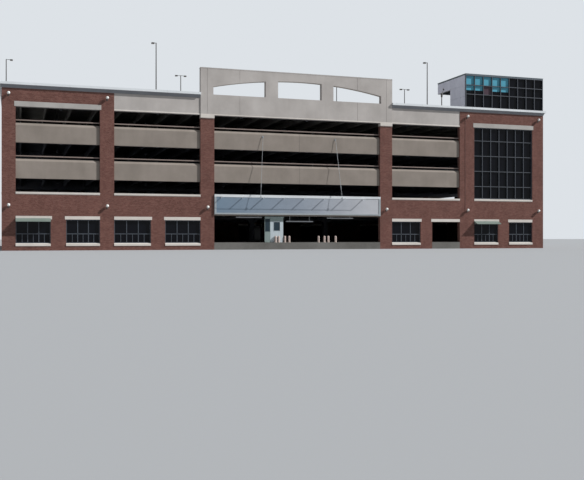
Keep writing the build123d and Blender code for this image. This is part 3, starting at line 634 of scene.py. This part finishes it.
# %% Cornice joint covers
strip_half, strip_out, sheet_long = mm(35 * HALF, 3, 3000 * HALF)
cornice_reach, soffit_run, soffit_drop = mm(120, 70, 150)
edge_foot = cornice_high.z - cornice_edge
slope = math.atan2(soffit_drop, soffit_run)
strip = Vector((strip_half, math.hypot(soffit_drop, soffit_run) / 2, strip_out))
screen_low, screen_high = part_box("arched_screen")
bm = bmesh.new()
for wall, place in walls.items():
    half = (x_right - x_left if wall in ("front", "back") else y_back - y_front) / 2
    count = round(2 * half / sheet_long)
    for n in range(1, count):
        x = -half + 2 * half * n / count
        a, b = x - strip_half, x + strip_half
        if wall == "front" and b > screen_low.x - strip_half and a < screen_high.x + strip_half:
            continue
        add_box(bm, (a, -cornice_reach - strip_out, edge_foot - strip_out),
                (b, -cornice_reach, cornice_high.z + strip_out), place, 1)
        middle = move((x, -soffit_run / 2, edge_foot - soffit_drop / 2))
        add_box(bm, -strip, strip, place @ middle @ Matrix.Rotation(-slope, 4, "X"))
finish_piece("cornice_joint_covers", bm, cornice_sheet)

# %% [markdown]
# A folded metal coping keeps rain out of the top of the arched screen: one sheet on top,
# turned down over every face.

# %% Screen coping
lap, coping, screen_thick, screen_step = mm(45, 6, 240, 22)
coping_low = (screen_low.x - coping, screen_high.y - screen_thick - screen_step - coping,
              screen_high.z + coping - lap)
bm = bmesh.new()
add_folded_cap(bm, coping_low, screen_high + Vector((coping, coping, coping)), coping, 1)
finish_piece("screen_coping", bm, light_precast)

# %% [markdown]
# The canopy over the entrance is a fascia of sheet, painted blue-grey with painted shade, with
# a white folded cap along its top, a trim down each end and an angle along its foot. The trims
# and the angle are of the cap's white, painted pale grey as painted shade where the canopy
# shades them. The solid has all these forms, and each only gets a thin cover. The right trim
# reaches a little below the others.

# %% Canopy trim
edge_tall, edge_out, cover, edge_lap = mm(110, 60, 3, 12)
trim_wide, lip_tall, trim_drop, top_deep = mm(95, 70, 30, 70)
left_end, right_end, top_z = canopy_low.x, canopy_high.x, canopy_high.z
edge_z, foot_z = top_z - edge_tall, canopy_low.z + trim_drop
under_edge, under_foot = edge_z - cover, foot_z - cover
left_trim, right_trim = left_end + trim_wide, right_end - trim_wide
face = -edge_out - cover
edge_cap = [((left_end, face, under_edge), (right_end, -edge_out, top_z + cover)),
            ((left_end, -edge_out, top_z), (right_end, top_deep, top_z + cover)),
            ((left_end, -edge_out, under_edge), (right_end, -edge_out + edge_lap, edge_z))]
ends_and_foot = [((left_end, face, under_foot), (left_trim, -edge_out, under_edge)),
                 ((right_trim, face, under_foot - trim_drop), (right_end, -edge_out, under_edge)),
                 ((left_trim, face, under_foot), (right_trim, -edge_out, foot_z + lip_tall)),
                 ((left_end, -edge_out, under_foot), (right_end, top_deep, foot_z))]
for name, boxes, finish in (("canopy_edge_cap", edge_cap, white_trim),
                            ("canopy_end_and_foot_trim", ends_and_foot, canopy_trim_painted_shade)):
    bm = bmesh.new()
    for low, high in boxes:
        add_box(bm, low, high, front, 1)
    finish_piece(name, bm, finish)

# %% [markdown]
# Eight thin arms stand out from the fascia, and each draws a long leaning shadow on it. A
# slim rod ties their ends together, and two tie rods come down to it. In the solids the tie
# rods are the tall ones, the arms are the narrow ones, and the wide one is the two outer arms
# with the rod.

# %% Canopy arms
arm_thick, shoe_out, rod_wide, rod_over = mm(16, 14, 30, 10)
supports = drawn("front", "canopy_tie_rods")
tie_rods = [(low, high) for low, high in supports if high.z - low.z > 1]
arms = []
for low, high in supports:
    if (low, high) in tie_rods:
        continue
    arms.append(low.x)
    if high.x - low.x > 50 * MM:
        arms.append(high.x - arm_thick)
        x0, x1, rod_y = low.x, high.x, low.y + rod_wide / 2
    arm_low, arm_high, arm_back = low.z, high.z, high.y
bm = bmesh.new()
for x in arms:
    add_box(bm, (x, rod_y - shoe_out, arm_low), (x + arm_thick, arm_back, arm_high), front, 2)
    add_box(bm, (x - shoe_out, arm_back - 6 * MM, arm_low - 20 * MM),
            (x + arm_thick + shoe_out, arm_back, arm_high), front, 2)
rod_z = (arm_low + arm_high) / 2
add_rod(bm, (x0 - rod_over, rod_y, rod_z), (x1 + rod_over, rod_y, rod_z), 8, front)
print("arms:", len(arms))
finish_piece("canopy_arms_and_end_rod", bm, white_trim)

# %% [markdown]
# Each tie rod ends in a fork with a pin, at a bolted plate above and at a shoe below, and
# has a turnbuckle to set its length.

# %% Tie rods
inset, ear_apart, bolt_at, fork_long = mm(45, 12, 32, 80)
buckle_place, buckle_half, buckle_nut = 0.82, *mm(100, 28)
ear, pin, plate = Vector(mm(3, 14, 14)), Vector(mm(20, 0, 0)), Vector(mm(0, 10, 0))
bm = bmesh.new()
for low, high in tie_rods:
    way = 1 if low.x + high.x > left_end + right_end else -1
    near, far = (low.x, high.x) if way > 0 else (high.x, low.x)
    top = Vector((near + way * inset, high.y - inset, high.z - inset))
    foot = Vector((far - way * inset, low.y + rod_wide / 2, low.z + inset))
    line = (foot - top).normalized()
    half = Vector((inset, 0, inset))
    face = Vector((top.x, high.y, top.z))
    add_box(bm, face - half - plate, face + half, front, 2)
    for x in (-bolt_at, bolt_at):
        for z in (-bolt_at, bolt_at):
            bolt = face - plate + Vector((x, 0, z))
            add_rod(bm, bolt, bolt - Vector(mm(0, 8, 0)), 7, front, 6)
    base = Vector((foot.x, foot.y, low.z))
    shoe = Vector((inset, rod_wide / 2, 0))
    add_box(bm, base - shoe - Vector(mm(0, 0, 50)), base + shoe + Vector(mm(0, 0, 10)), front, 2)
    for centre, stand, inward in ((top, Vector((0, inset, 0)), line),
                                  (foot, Vector((0, 0, -inset)), -line)):
        reach = ear + Vector(abs(v) for v in stand) / 2
        for side in (-ear_apart, ear_apart):
            middle = centre + Vector((side, 0, 0)) + stand / 2
            add_box(bm, middle - reach, middle + reach, front, 2)
        add_rod(bm, centre - pin, centre + pin, 7, front)
        add_rod(bm, centre, centre + inward * fork_long, 13, front, 16, 10)
    add_rod(bm, top, foot, 9, front, 16)
    buckle = top.lerp(foot, buckle_place)
    add_rod(bm, buckle - line * buckle_half, buckle + line * buckle_half, 16, front, 6)
    for end in (-line, line):
        nut = buckle + end * buckle_half
        add_rod(bm, nut, nut + end * buckle_nut, 13, front, 6)
finish_piece("tie_rods_with_turnbuckles", bm, rod_metal, ["canopy_tie_rods"])

# %% [markdown]
# Each wall light is an opal globe in a round cup on a short arm from a cast plate.

# %% Wall lights
globe_radius, arm_height, arm_below = mm(72, 60, 6)
plate_half, plate_out = mm(30, 12)
cup = ((0, -14), (22, -14), (29, -7), (34, 7), (34, 11), (29, 11), (0, 11))
globes, brackets = bmesh.new(), bmesh.new()
lights = drawn("front", "wall_lights")
for low, high in lights:
    x, y, z = (low.x + high.x) / 2, low.y + globe_radius, low.z + arm_height
    bmesh.ops.create_uvsphere(globes, u_segments=28, v_segments=16, radius=globe_radius,
                              matrix=front @ move((x, y, z + globe_radius)))
    add_turned(brackets, cup, front @ move((x, y, z)), 20)
    arm_z = z - arm_below
    add_rod(brackets, (x, 0, arm_z), (x, y, arm_z), 11, front)
    add_box(brackets, (x - plate_half, -plate_out, z - arm_height),
            (x + plate_half, 0, z + arm_height), front, 4)
    add_rod(brackets, (x, -plate_out, arm_z), (x, -26 * MM, arm_z), 20, front, 12, 14)
finish_piece("wall_light_globes", globes, opal_globe, ["wall_lights"], smooth=True)
finish_piece("wall_light_brackets", brackets, lamp_coating, smooth=True)

# %% [markdown]
# The roof lamps are small flat heads on short arms, on slim posts with a square base. Each
# head has a rounded body over a flat pale lens. A post stands over the middle of its solid's
# foot, and the solid's two ends say which way the arms reach. One lamp is low: it has a thick
# upright head, and a ball on a leaning stem.

# %% Roof lamps
head_tall, head_long, head_half = mm(70, 150, 60)
base_half, base_thick, nut_at = mm(75, 16, 62)
post_foot, ball_radius, low_lamp = 20 * MM, 48 * MM, 2.0
foot_cover = ((0, 16), (62, 16), (58, 44), (36, 60), (0, 60))
barrel = ((0, -230), (30, -230), (44, -214), (50, -190), (50, -20), (42, -4), (30, 0), (0, 0))
parts, lenses = bmesh.new(), bmesh.new()


def lowest_x(name, low, high, y_reach=math.inf):
    """Where a solid's lowest points are along x, from the node's mesh."""
    y = (low.y + high.y) / 2
    return [v.co.x for v in solids[name].data.vertices
            if abs(v.co.z - low.z) < 1 * MM and abs(v.co.y - y) < y_reach
            and low.x - 1 * MM < v.co.x < high.x + 1 * MM]


for low, high in solids_of("roof_lamps"):
    foot = lowest_x("roof_lamps", low, high, 80 * MM)
    x, y, tall = (min(foot) + max(foot)) / 2, (low.y + high.y) / 2, high.z - low.z
    at = move((x, y, low.z))
    add_box(parts, (-base_half, -base_half, 0), (base_half, base_half, base_thick), at, 3)
    add_turned(parts, foot_cover, at, 16)
    for dx in (-nut_at, nut_at):
        for dy in (-nut_at, nut_at):
            add_rod(parts, (dx, dy, base_thick), (dx, dy, base_thick + 14 * MM), 8, at, 6)
    if tall < low_lamp:
        head, over = tall - 250 * MM, high.x - x - 50 * MM
        add_rod(parts, (0, 0, post_foot), (0, 0, head - 200 * MM), 30, at, 20, 24)
        add_turned(parts, barrel, at @ move((0, 0, head)), 24)
        add_rod(parts, (0, 0, head - 10 * MM), (over, 0, head + 160 * MM), 11, at)
        bmesh.ops.create_uvsphere(parts, u_segments=20, v_segments=12, radius=ball_radius,
                                  matrix=at @ move((over, 0, tall - 50 * MM)))
        continue
    add_rod(parts, (0, 0, post_foot), (0, 0, tall - 4 * MM), 30, at, 20, 22)
    arm_z, under = tall - 15 * MM, tall - head_tall
    for way, reach in ((-1, x - low.x), (1, high.x - x)):
        if reach < 100 * MM:
            continue
        add_rod(parts, (0, 0, arm_z), (way * (reach - 60 * MM), 0, arm_z), 12, at)
        a, b = sorted((way * (reach - head_long), way * reach))
        for bm, bevel_mm, *sizes in ((parts, 12, 0, 14, 70), (parts, 2, 8, 0, 16),
                                     (lenses, 1, 18, -3, 4)):
            inset, z0, z1 = mm(*sizes)
            side = head_half - inset
            add_box(bm, (a + inset, -side, under + z0), (b - inset, side, under + z1), at, bevel_mm)
finish_piece("roof_lamp_posts_and_heads", parts, lamp_coating, ["roof_lamps"],
             smooth=True)
finish_piece("roof_lamp_lenses", lenses, opal_globe)

# %% [markdown]
# The bollards at the entrance are pale steel tubes. A turned outline gives the tube, its weld
# line and its dome in one go, and a shallow collar covers the bolts at its foot.

# %% Bollards
r, tall = 55, 330
outline = ((0, tall), (20, tall - 2), (38, tall - 9), (50, tall - 20), (r, tall - 34),
           (r, tall - 46), (r - 1.5, tall - 48), (r, tall - 50), (r, 26), (r + 9, 22),
           (r + 12, 16), (r + 12, 0), (0, 0))
bm = bmesh.new()
for low, high in solids_of("bollards"):
    add_turned(bm, outline, move(((low.x + high.x) / 2, (low.y + high.y) / 2, low.z)), 28)
finish_piece("domed_bollards", bm, bollard_coat, ["bollards"], smooth=True)

# %% [markdown]
# The booth is a small steel cabin with open windows on all four sides. Each one now gets a
# pane and a slim frame, and a deep grey-green band with a folded edge goes round the booth
# under its roof. The screen beside it has a sheet in its lower half and glass above, in a
# frame of the band's paint.

# %% Booth glazing
low, high = on_wall("front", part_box("entrance_booth"))
(x0, screen_y0, z0), (x1, screen_y1, z1) = on_wall("front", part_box("booth_screen"))
out, thick, corner, trim, proud, roof_edge = mm(35, 30, 150, 22, 5, 4)
fold_tall, pane_y0, pane_y1 = mm(36, 11, 19)
sill, head, eaves = floor_level + 560 * MM, floor_level + 1040 * MM, high.z - 40 * MM
a, b, y0, y1 = x1, high.x - out, low.y + out, high.y - out
panes, frames, bands = bmesh.new(), bmesh.new(), bmesh.new()
turned = Matrix.Rotation(quarter, 4, "Z")
sides = [(move((0, y, 0)), a, b) for y in (y0, y1 - thick)]
sides += [(move((x + thick, 0, 0)) @ turned, y0, y1) for x in (a, b - thick)]
for side, start, end in sides:
    place = front @ side
    start, end = start + corner, end - corner
    add_box(panes, (start, pane_y0, sill), (end, pane_y1, head), place)
    for (xa, za), (xb, zb) in rim((start, sill), (end, head), trim):
        add_box(frames, (xa, -proud, za), (xb, thick + proud, zb), place, 2)
add_box(bands, (a - proud, y0 - proud, head + trim / 2), (b + proud, y1 + proud, eaves), front, 2)
bar_z = z0 + 520 * MM
strips = rim((x0, z0), (x1, z1), trim, 2 * trim, 3 * trim) + [((x0, bar_z), (x1, bar_z + trim))]
for (xa, za), (xb, zb) in strips:
    add_box(bands, (xa, screen_y0 - proud, za), (xb, screen_y1 + proud, zb), front, 2)
add_box(bands, (x0 + trim, screen_y0 - 2 * MM, z0 + 2 * trim),
        (x1 - trim, screen_y1 + 2 * MM, bar_z), front)
far, fold_low, fold_top = out + roof_edge, high.z - fold_tall, high.z + roof_edge
add_box(bands, (a - out, y0 - far, fold_low), (b + far, y1 + far, fold_top), front, 4)
add_box(bands, (x0 - roof_edge, y0 - far, fold_low),
        (x1, y0 + thick + far, fold_top), front, 4)
finish_piece("booth_panes", panes, booth_glass)
finish_piece("booth_window_frames", frames, booth_paint)
finish_piece("booth_bands_and_roof_edge", bands, booth_roof_paint)

# %% [markdown]
# Each open bay has one rail above its spandrel: a flat tube with rounded edges, which catches
# the light as one thin line, on slim posts in the dark lamp coating, painted shade that lets
# them sink into the dark behind. On the front the solids say where the rails and their posts
# are; elsewhere the spandrels do.

# %% Guard rails
rail, rise, post_half, post_pitch = mm(50, 155, 7, 1500)
rails, posts = bmesh.new(), bmesh.new()


def add_rail(wall, low, high, top, foot, middles):
    """One rail over a box on a wall's drawing, and the posts that carry it."""
    y = (low.y + high.y) / 2
    half = rail / 2
    add_box(rails, (low.x, y - half, top - rail), (high.x, y + half, top), walls[wall], 6)
    for x in middles:
        add_box(posts, (x - post_half, y - 5 * MM, foot), (x + post_half, y + half, top - half),
                walls[wall], 1)


for wall in ("left", "right", "back"):
    for low, high in drawn(wall, wall + "_spandrels"):
        wide = high.x - low.x
        count = max(2, round(wide / post_pitch))
        middles = [low.x + wide * (n + 0.5) / count for n in range(count)]
        add_rail(wall, low, high, high.z + rise, high.z, middles)
for low, high in drawn("front", "front_guard_rails"):
    feet = sorted({round(x, 4) for x in lowest_x("front_guard_rails", low, high)})
    middles = [(a + b) / 2 for a, b in zip(feet[::2], feet[1::2])]
    add_rail("front", low, high, high.z, low.z, middles)
finish_piece("guard_rails", rails, rail_paint, ["front_guard_rails"])
# Painted shade: the posts take the dark lamp coating, not the rail paint, so they sink into the
# shade of the decks behind.
finish_piece("guard_rail_posts_in_painted_shade", posts, lamp_coating)

# %% [markdown]
# The cast lip at the foot of the arched screen and of the top bands throws the rain off. Its
# chamfer faces up into the sun, so it is the brightest line of the wall: a thin skin of the
# white mix, paler than the bands, paints that sunlight on as a painted highlight.

# %% Drip lips with painted highlight
lip_tall, skin = mm(50, 2)
bm = bmesh.new()
for box in [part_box("arched_screen")] + solids_of("top_bands"):
    wall = wall_of(box)
    low, high = on_wall(wall, box)
    add_box(bm, (low.x, low.y - skin, low.z), (high.x, low.y, low.z + lip_tall), walls[wall], 0.5)
# Painted highlight: the white skin stands in for the sun on the lip's upward chamfer.
finish_piece("drip_lips_painted_highlight", bm, bright_precast)

# %% [markdown]
# Small lights hang under the decks, from the flange between the stems, and show a little
# paler than the dark behind them. Each is a shallow grey housing with a lens below it.

# %% Deck lights
flange, stem_long, light_foot, lens_foot = mm(50, 230, 320, 332)
light_half, light_side, edge = mm(75, 45, 10)
light_rows, long_bay = mm(1500, 5400, 12600, 16400), 6.0
housings, lenses = bmesh.new(), bmesh.new()
spandrels = drawn("front", "front_spandrels")
bays = sorted({(round(low.x, 3), round(high.x, 3)) for low, high in spandrels})
for name in ("deck_level_2", "deck_level_3", "deck_level_4", "roof_deck"):
    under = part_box(name)[1].z - flange
    for a, b in bays:
        shares = (0.2, 0.6) if b - a > long_bay else (0.4, 0.92) if a > 0 else (0.55,)
        for x, y in ((a + (b - a) * share, row) for share in shares for row in light_rows):
            place = front @ move((x, y, under))
            add_rod(housings, (0, 0, -stem_long), (0, 0, 0), 9, place, 8)
            add_box(housings, (-light_half, -light_side, -light_foot),
                    (light_half, light_side, -stem_long), place, 8)
            half, side = light_half - edge, light_side - edge
            add_box(lenses, (-half, -side, -lens_foot), (half, side, -light_foot), place, 3)
finish_piece("deck_light_housings", housings, grey_bars)
finish_piece("deck_light_lenses", lenses, bar_paint)

# %% [markdown]
# Three bars of folded sheet hang on short straps in the entrance, to warn a tall vehicle off.
# They carry no words.

# %% Clearance bars
hang_y, strap_in, bar_half, bar_side, strap_side = mm(300, 200, 28, 12, 4)
hang_top = 1.80
bm = bmesh.new()
for x0, x1, z in ((-3.31, -1.97, 1.600), (-0.71, 0.74, 1.410), (1.50, 2.95, 1.590)):
    add_box(bm, (x0, hang_y - bar_side, z - bar_half), (x1, hang_y + bar_side, z + bar_half),
            front, 6)
    for x in (x0 + strap_in, x1 - strap_in):
        add_box(bm, (x - bar_side, hang_y - strap_side, z),
                (x + bar_side, hang_y + strap_side, hang_top), front, 1)
finish_piece("clearance_bars", bm, bar_paint)

# %% [markdown]
# A thin pipe for the cable runs up the right inner pier between its two lights, with a saddle
# clip every metre or so. Sealed joints divide the long entrance spandrels in the middle: down
# the face, and back along the sloping top.

# %% Cable pipe and sealed joints
pipe_mm, upper_lights, clip_pitch = 9, 5.0, 0.55
pipe_r, pipe_aside, clip_half, clip_side = mm(pipe_mm, 105, 7, 22)
pier_lights = sorted(((low.x + high.x) / 2, low.z + arm_height) for low, high in lights)
inner = sorted({round(x, 3) for x, z in pier_lights if z > upper_lights})[-2]
foot, head = [z for x, z in pier_lights if abs(x - inner) < 0.01][:2]
pipe_x = inner - pipe_aside
bm = bmesh.new()
add_rod(bm, (pipe_x, -pipe_r, foot), (pipe_x, -pipe_r, head), pipe_mm, front)
for z in (foot, head):
    add_rod(bm, (pipe_x - pipe_r, -pipe_r, z), (inner - plate_half, -pipe_r, z), pipe_mm, front)
clips = int((head - foot) / clip_pitch)
for n in range(1, clips):
    z = foot + (head - foot) * n / clips
    add_box(bm, (pipe_x - clip_side, -2 * pipe_r - 2 * MM, z - clip_half),
            (pipe_x + clip_side, 0, z + clip_half), front, 2)
finish_piece("cable_pipe", bm, pipe_paint)

joint_half, joint_out, joint_in, slope_tall, slope_deep = mm(5, 2, 4, 105, 60)
lean = Matrix.Rotation(-math.atan2(slope_deep, slope_tall), 4, "X")
slope_long = math.hypot(slope_deep, slope_tall)
bm = bmesh.new()
for low, high in spandrels:
    if high.x - low.x > long_bay:
        x = (low.x + high.x) / 2
        fold = Vector((x, low.y, high.z - slope_tall))
        add_box(bm, (x - joint_half, low.y - joint_out, low.z),
                (x + joint_half, low.y + joint_in, fold.z), front)
        add_box(bm, (-joint_half, -joint_out, 0), (joint_half, joint_in, slope_long),
                front @ move(fold) @ lean)
finish_piece("sealed_spandrel_joints", bm, sealant)

# %% [markdown]
# The roof is a parking deck, so its topping runs on over the middle girders, as a thin sheet.
# It has stall lines: 2.6 m by 5.4 m in real size, in four rows with two lanes between them.
# Paint is a thin box here, so that it also shows in the exported shapes.

# %% Stall lines and middle strip of the roof
stall_wide, stall_long, line_half, paint = mm(2600 * HALF, 5400 * HALF, 50 * HALF, 2)
edge_free, end_free, stair_free, strip_half = mm(550, 2400, 300, 190)
deck_low, deck_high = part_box("roof_deck")
rows = (deck_low.y + edge_free, y_middle - stall_long, y_middle,
        deck_high.y - edge_free - stall_long)
count = int((deck_high.x - deck_low.x - end_free) / stall_wide)
start = (deck_low.x + deck_high.x - count * stall_wide) / 2
top = deck_high.z
bm = bmesh.new()
for y in rows:
    for n in range(count + 1):
        x = start + n * stall_wide
        if x <= wall_low.x - stair_free or y >= wall_high.y + stair_free:
            add_box(bm, (x - line_half, y, top), (x + line_half, y + stall_long, top + paint))
finish_piece("stall_lines", bm, line_paint)
bm = bmesh.new()
add_box(bm, (deck_low.x, y_middle - strip_half, top - 1 * MM),
        (deck_high.x, y_middle + strip_half, top + 1 * MM))
finish_piece("middle_roof_topping", bm, roof_topping)

# %% [markdown]
# The model stands on a plain pale floor in a studio. One lamp far off to the right rakes
# along the front, and an even pale surround fills the shadows. What the camera and
# reflections see of it is a plain pale tone, chosen with a Light Path node, so the background
# costs the building no extra light.

# %% Floor, lamp and surround
bm = bmesh.new()
bmesh.ops.create_grid(bm, x_segments=1, y_segments=1, size=160.0)
floor_mesh = bpy.data.meshes.new("studio_floor")
bm.to_mesh(floor_mesh)
bm.free()
floor_mesh.materials.append(start_material("pale_studio_floor", "#aaacae", 0.9, specular=0.1)[0])
studio_floor = bpy.data.objects.new("studio_floor", floor_mesh)
link(studio_floor)

sun = bpy.data.objects.new("studio_key", bpy.data.lights.new("studio_key", "SUN"))
sun.data.energy, sun.data.angle = 4.45, math.radians(1.5)
azimuth, elevation = math.radians(66.5), math.radians(38.5)
flat = math.cos(elevation)
towards = Vector((math.sin(azimuth) * flat, -math.cos(azimuth) * flat, math.sin(elevation)))
sun.rotation_euler = towards.to_track_quat("Z", "Y").to_euler()
link(sun)

world = bpy.data.worlds.new("studio_surround")
bpy.context.scene.world = world
world.use_nodes = True
tree = world.node_tree
tree.nodes.clear()
rays = node(tree, "LightPath").outputs
seen = rays["Is Camera Ray"]
for kind in ("Is Glossy Ray", "Is Transmission Ray"):
    seen = node(tree, "Math", {0: seen, 1: rays[kind]}, operation="MAXIMUM").outputs[0]
fill = node(tree, "Background", {"Color": linear("#e9eff8"), "Strength": 0.27})
pale = node(tree, "Background", {"Color": linear("#dde2e7"), "Strength": 1.0})
choice = node(tree, "MixShader", {"Fac": seen, 1: fill.outputs[0], 2: pale.outputs[0]})
node(tree, "OutputWorld", {"Surface": choice.outputs[0]})

# %% [markdown]
# The camera stands where the picture of the real building was taken from, at half scale:
# level, and turned to the right by about 18 degrees. A small shift places the horizon.

# %% Camera
camera = bpy.data.objects.new("camera", bpy.data.cameras.new("camera"))
camera.location = (-13.590, y_front - 39.693, 0.625)
camera.rotation_euler = (quarter, 0, math.radians(-18.268))
camera.data.sensor_width, camera.data.lens = 36.0, 51.29
camera.data.shift_y = -0.0053
camera.data.clip_end = 500.0
link(camera)
bpy.context.scene.camera = camera
bpy.context.scene.view_settings.view_transform = "Standard"
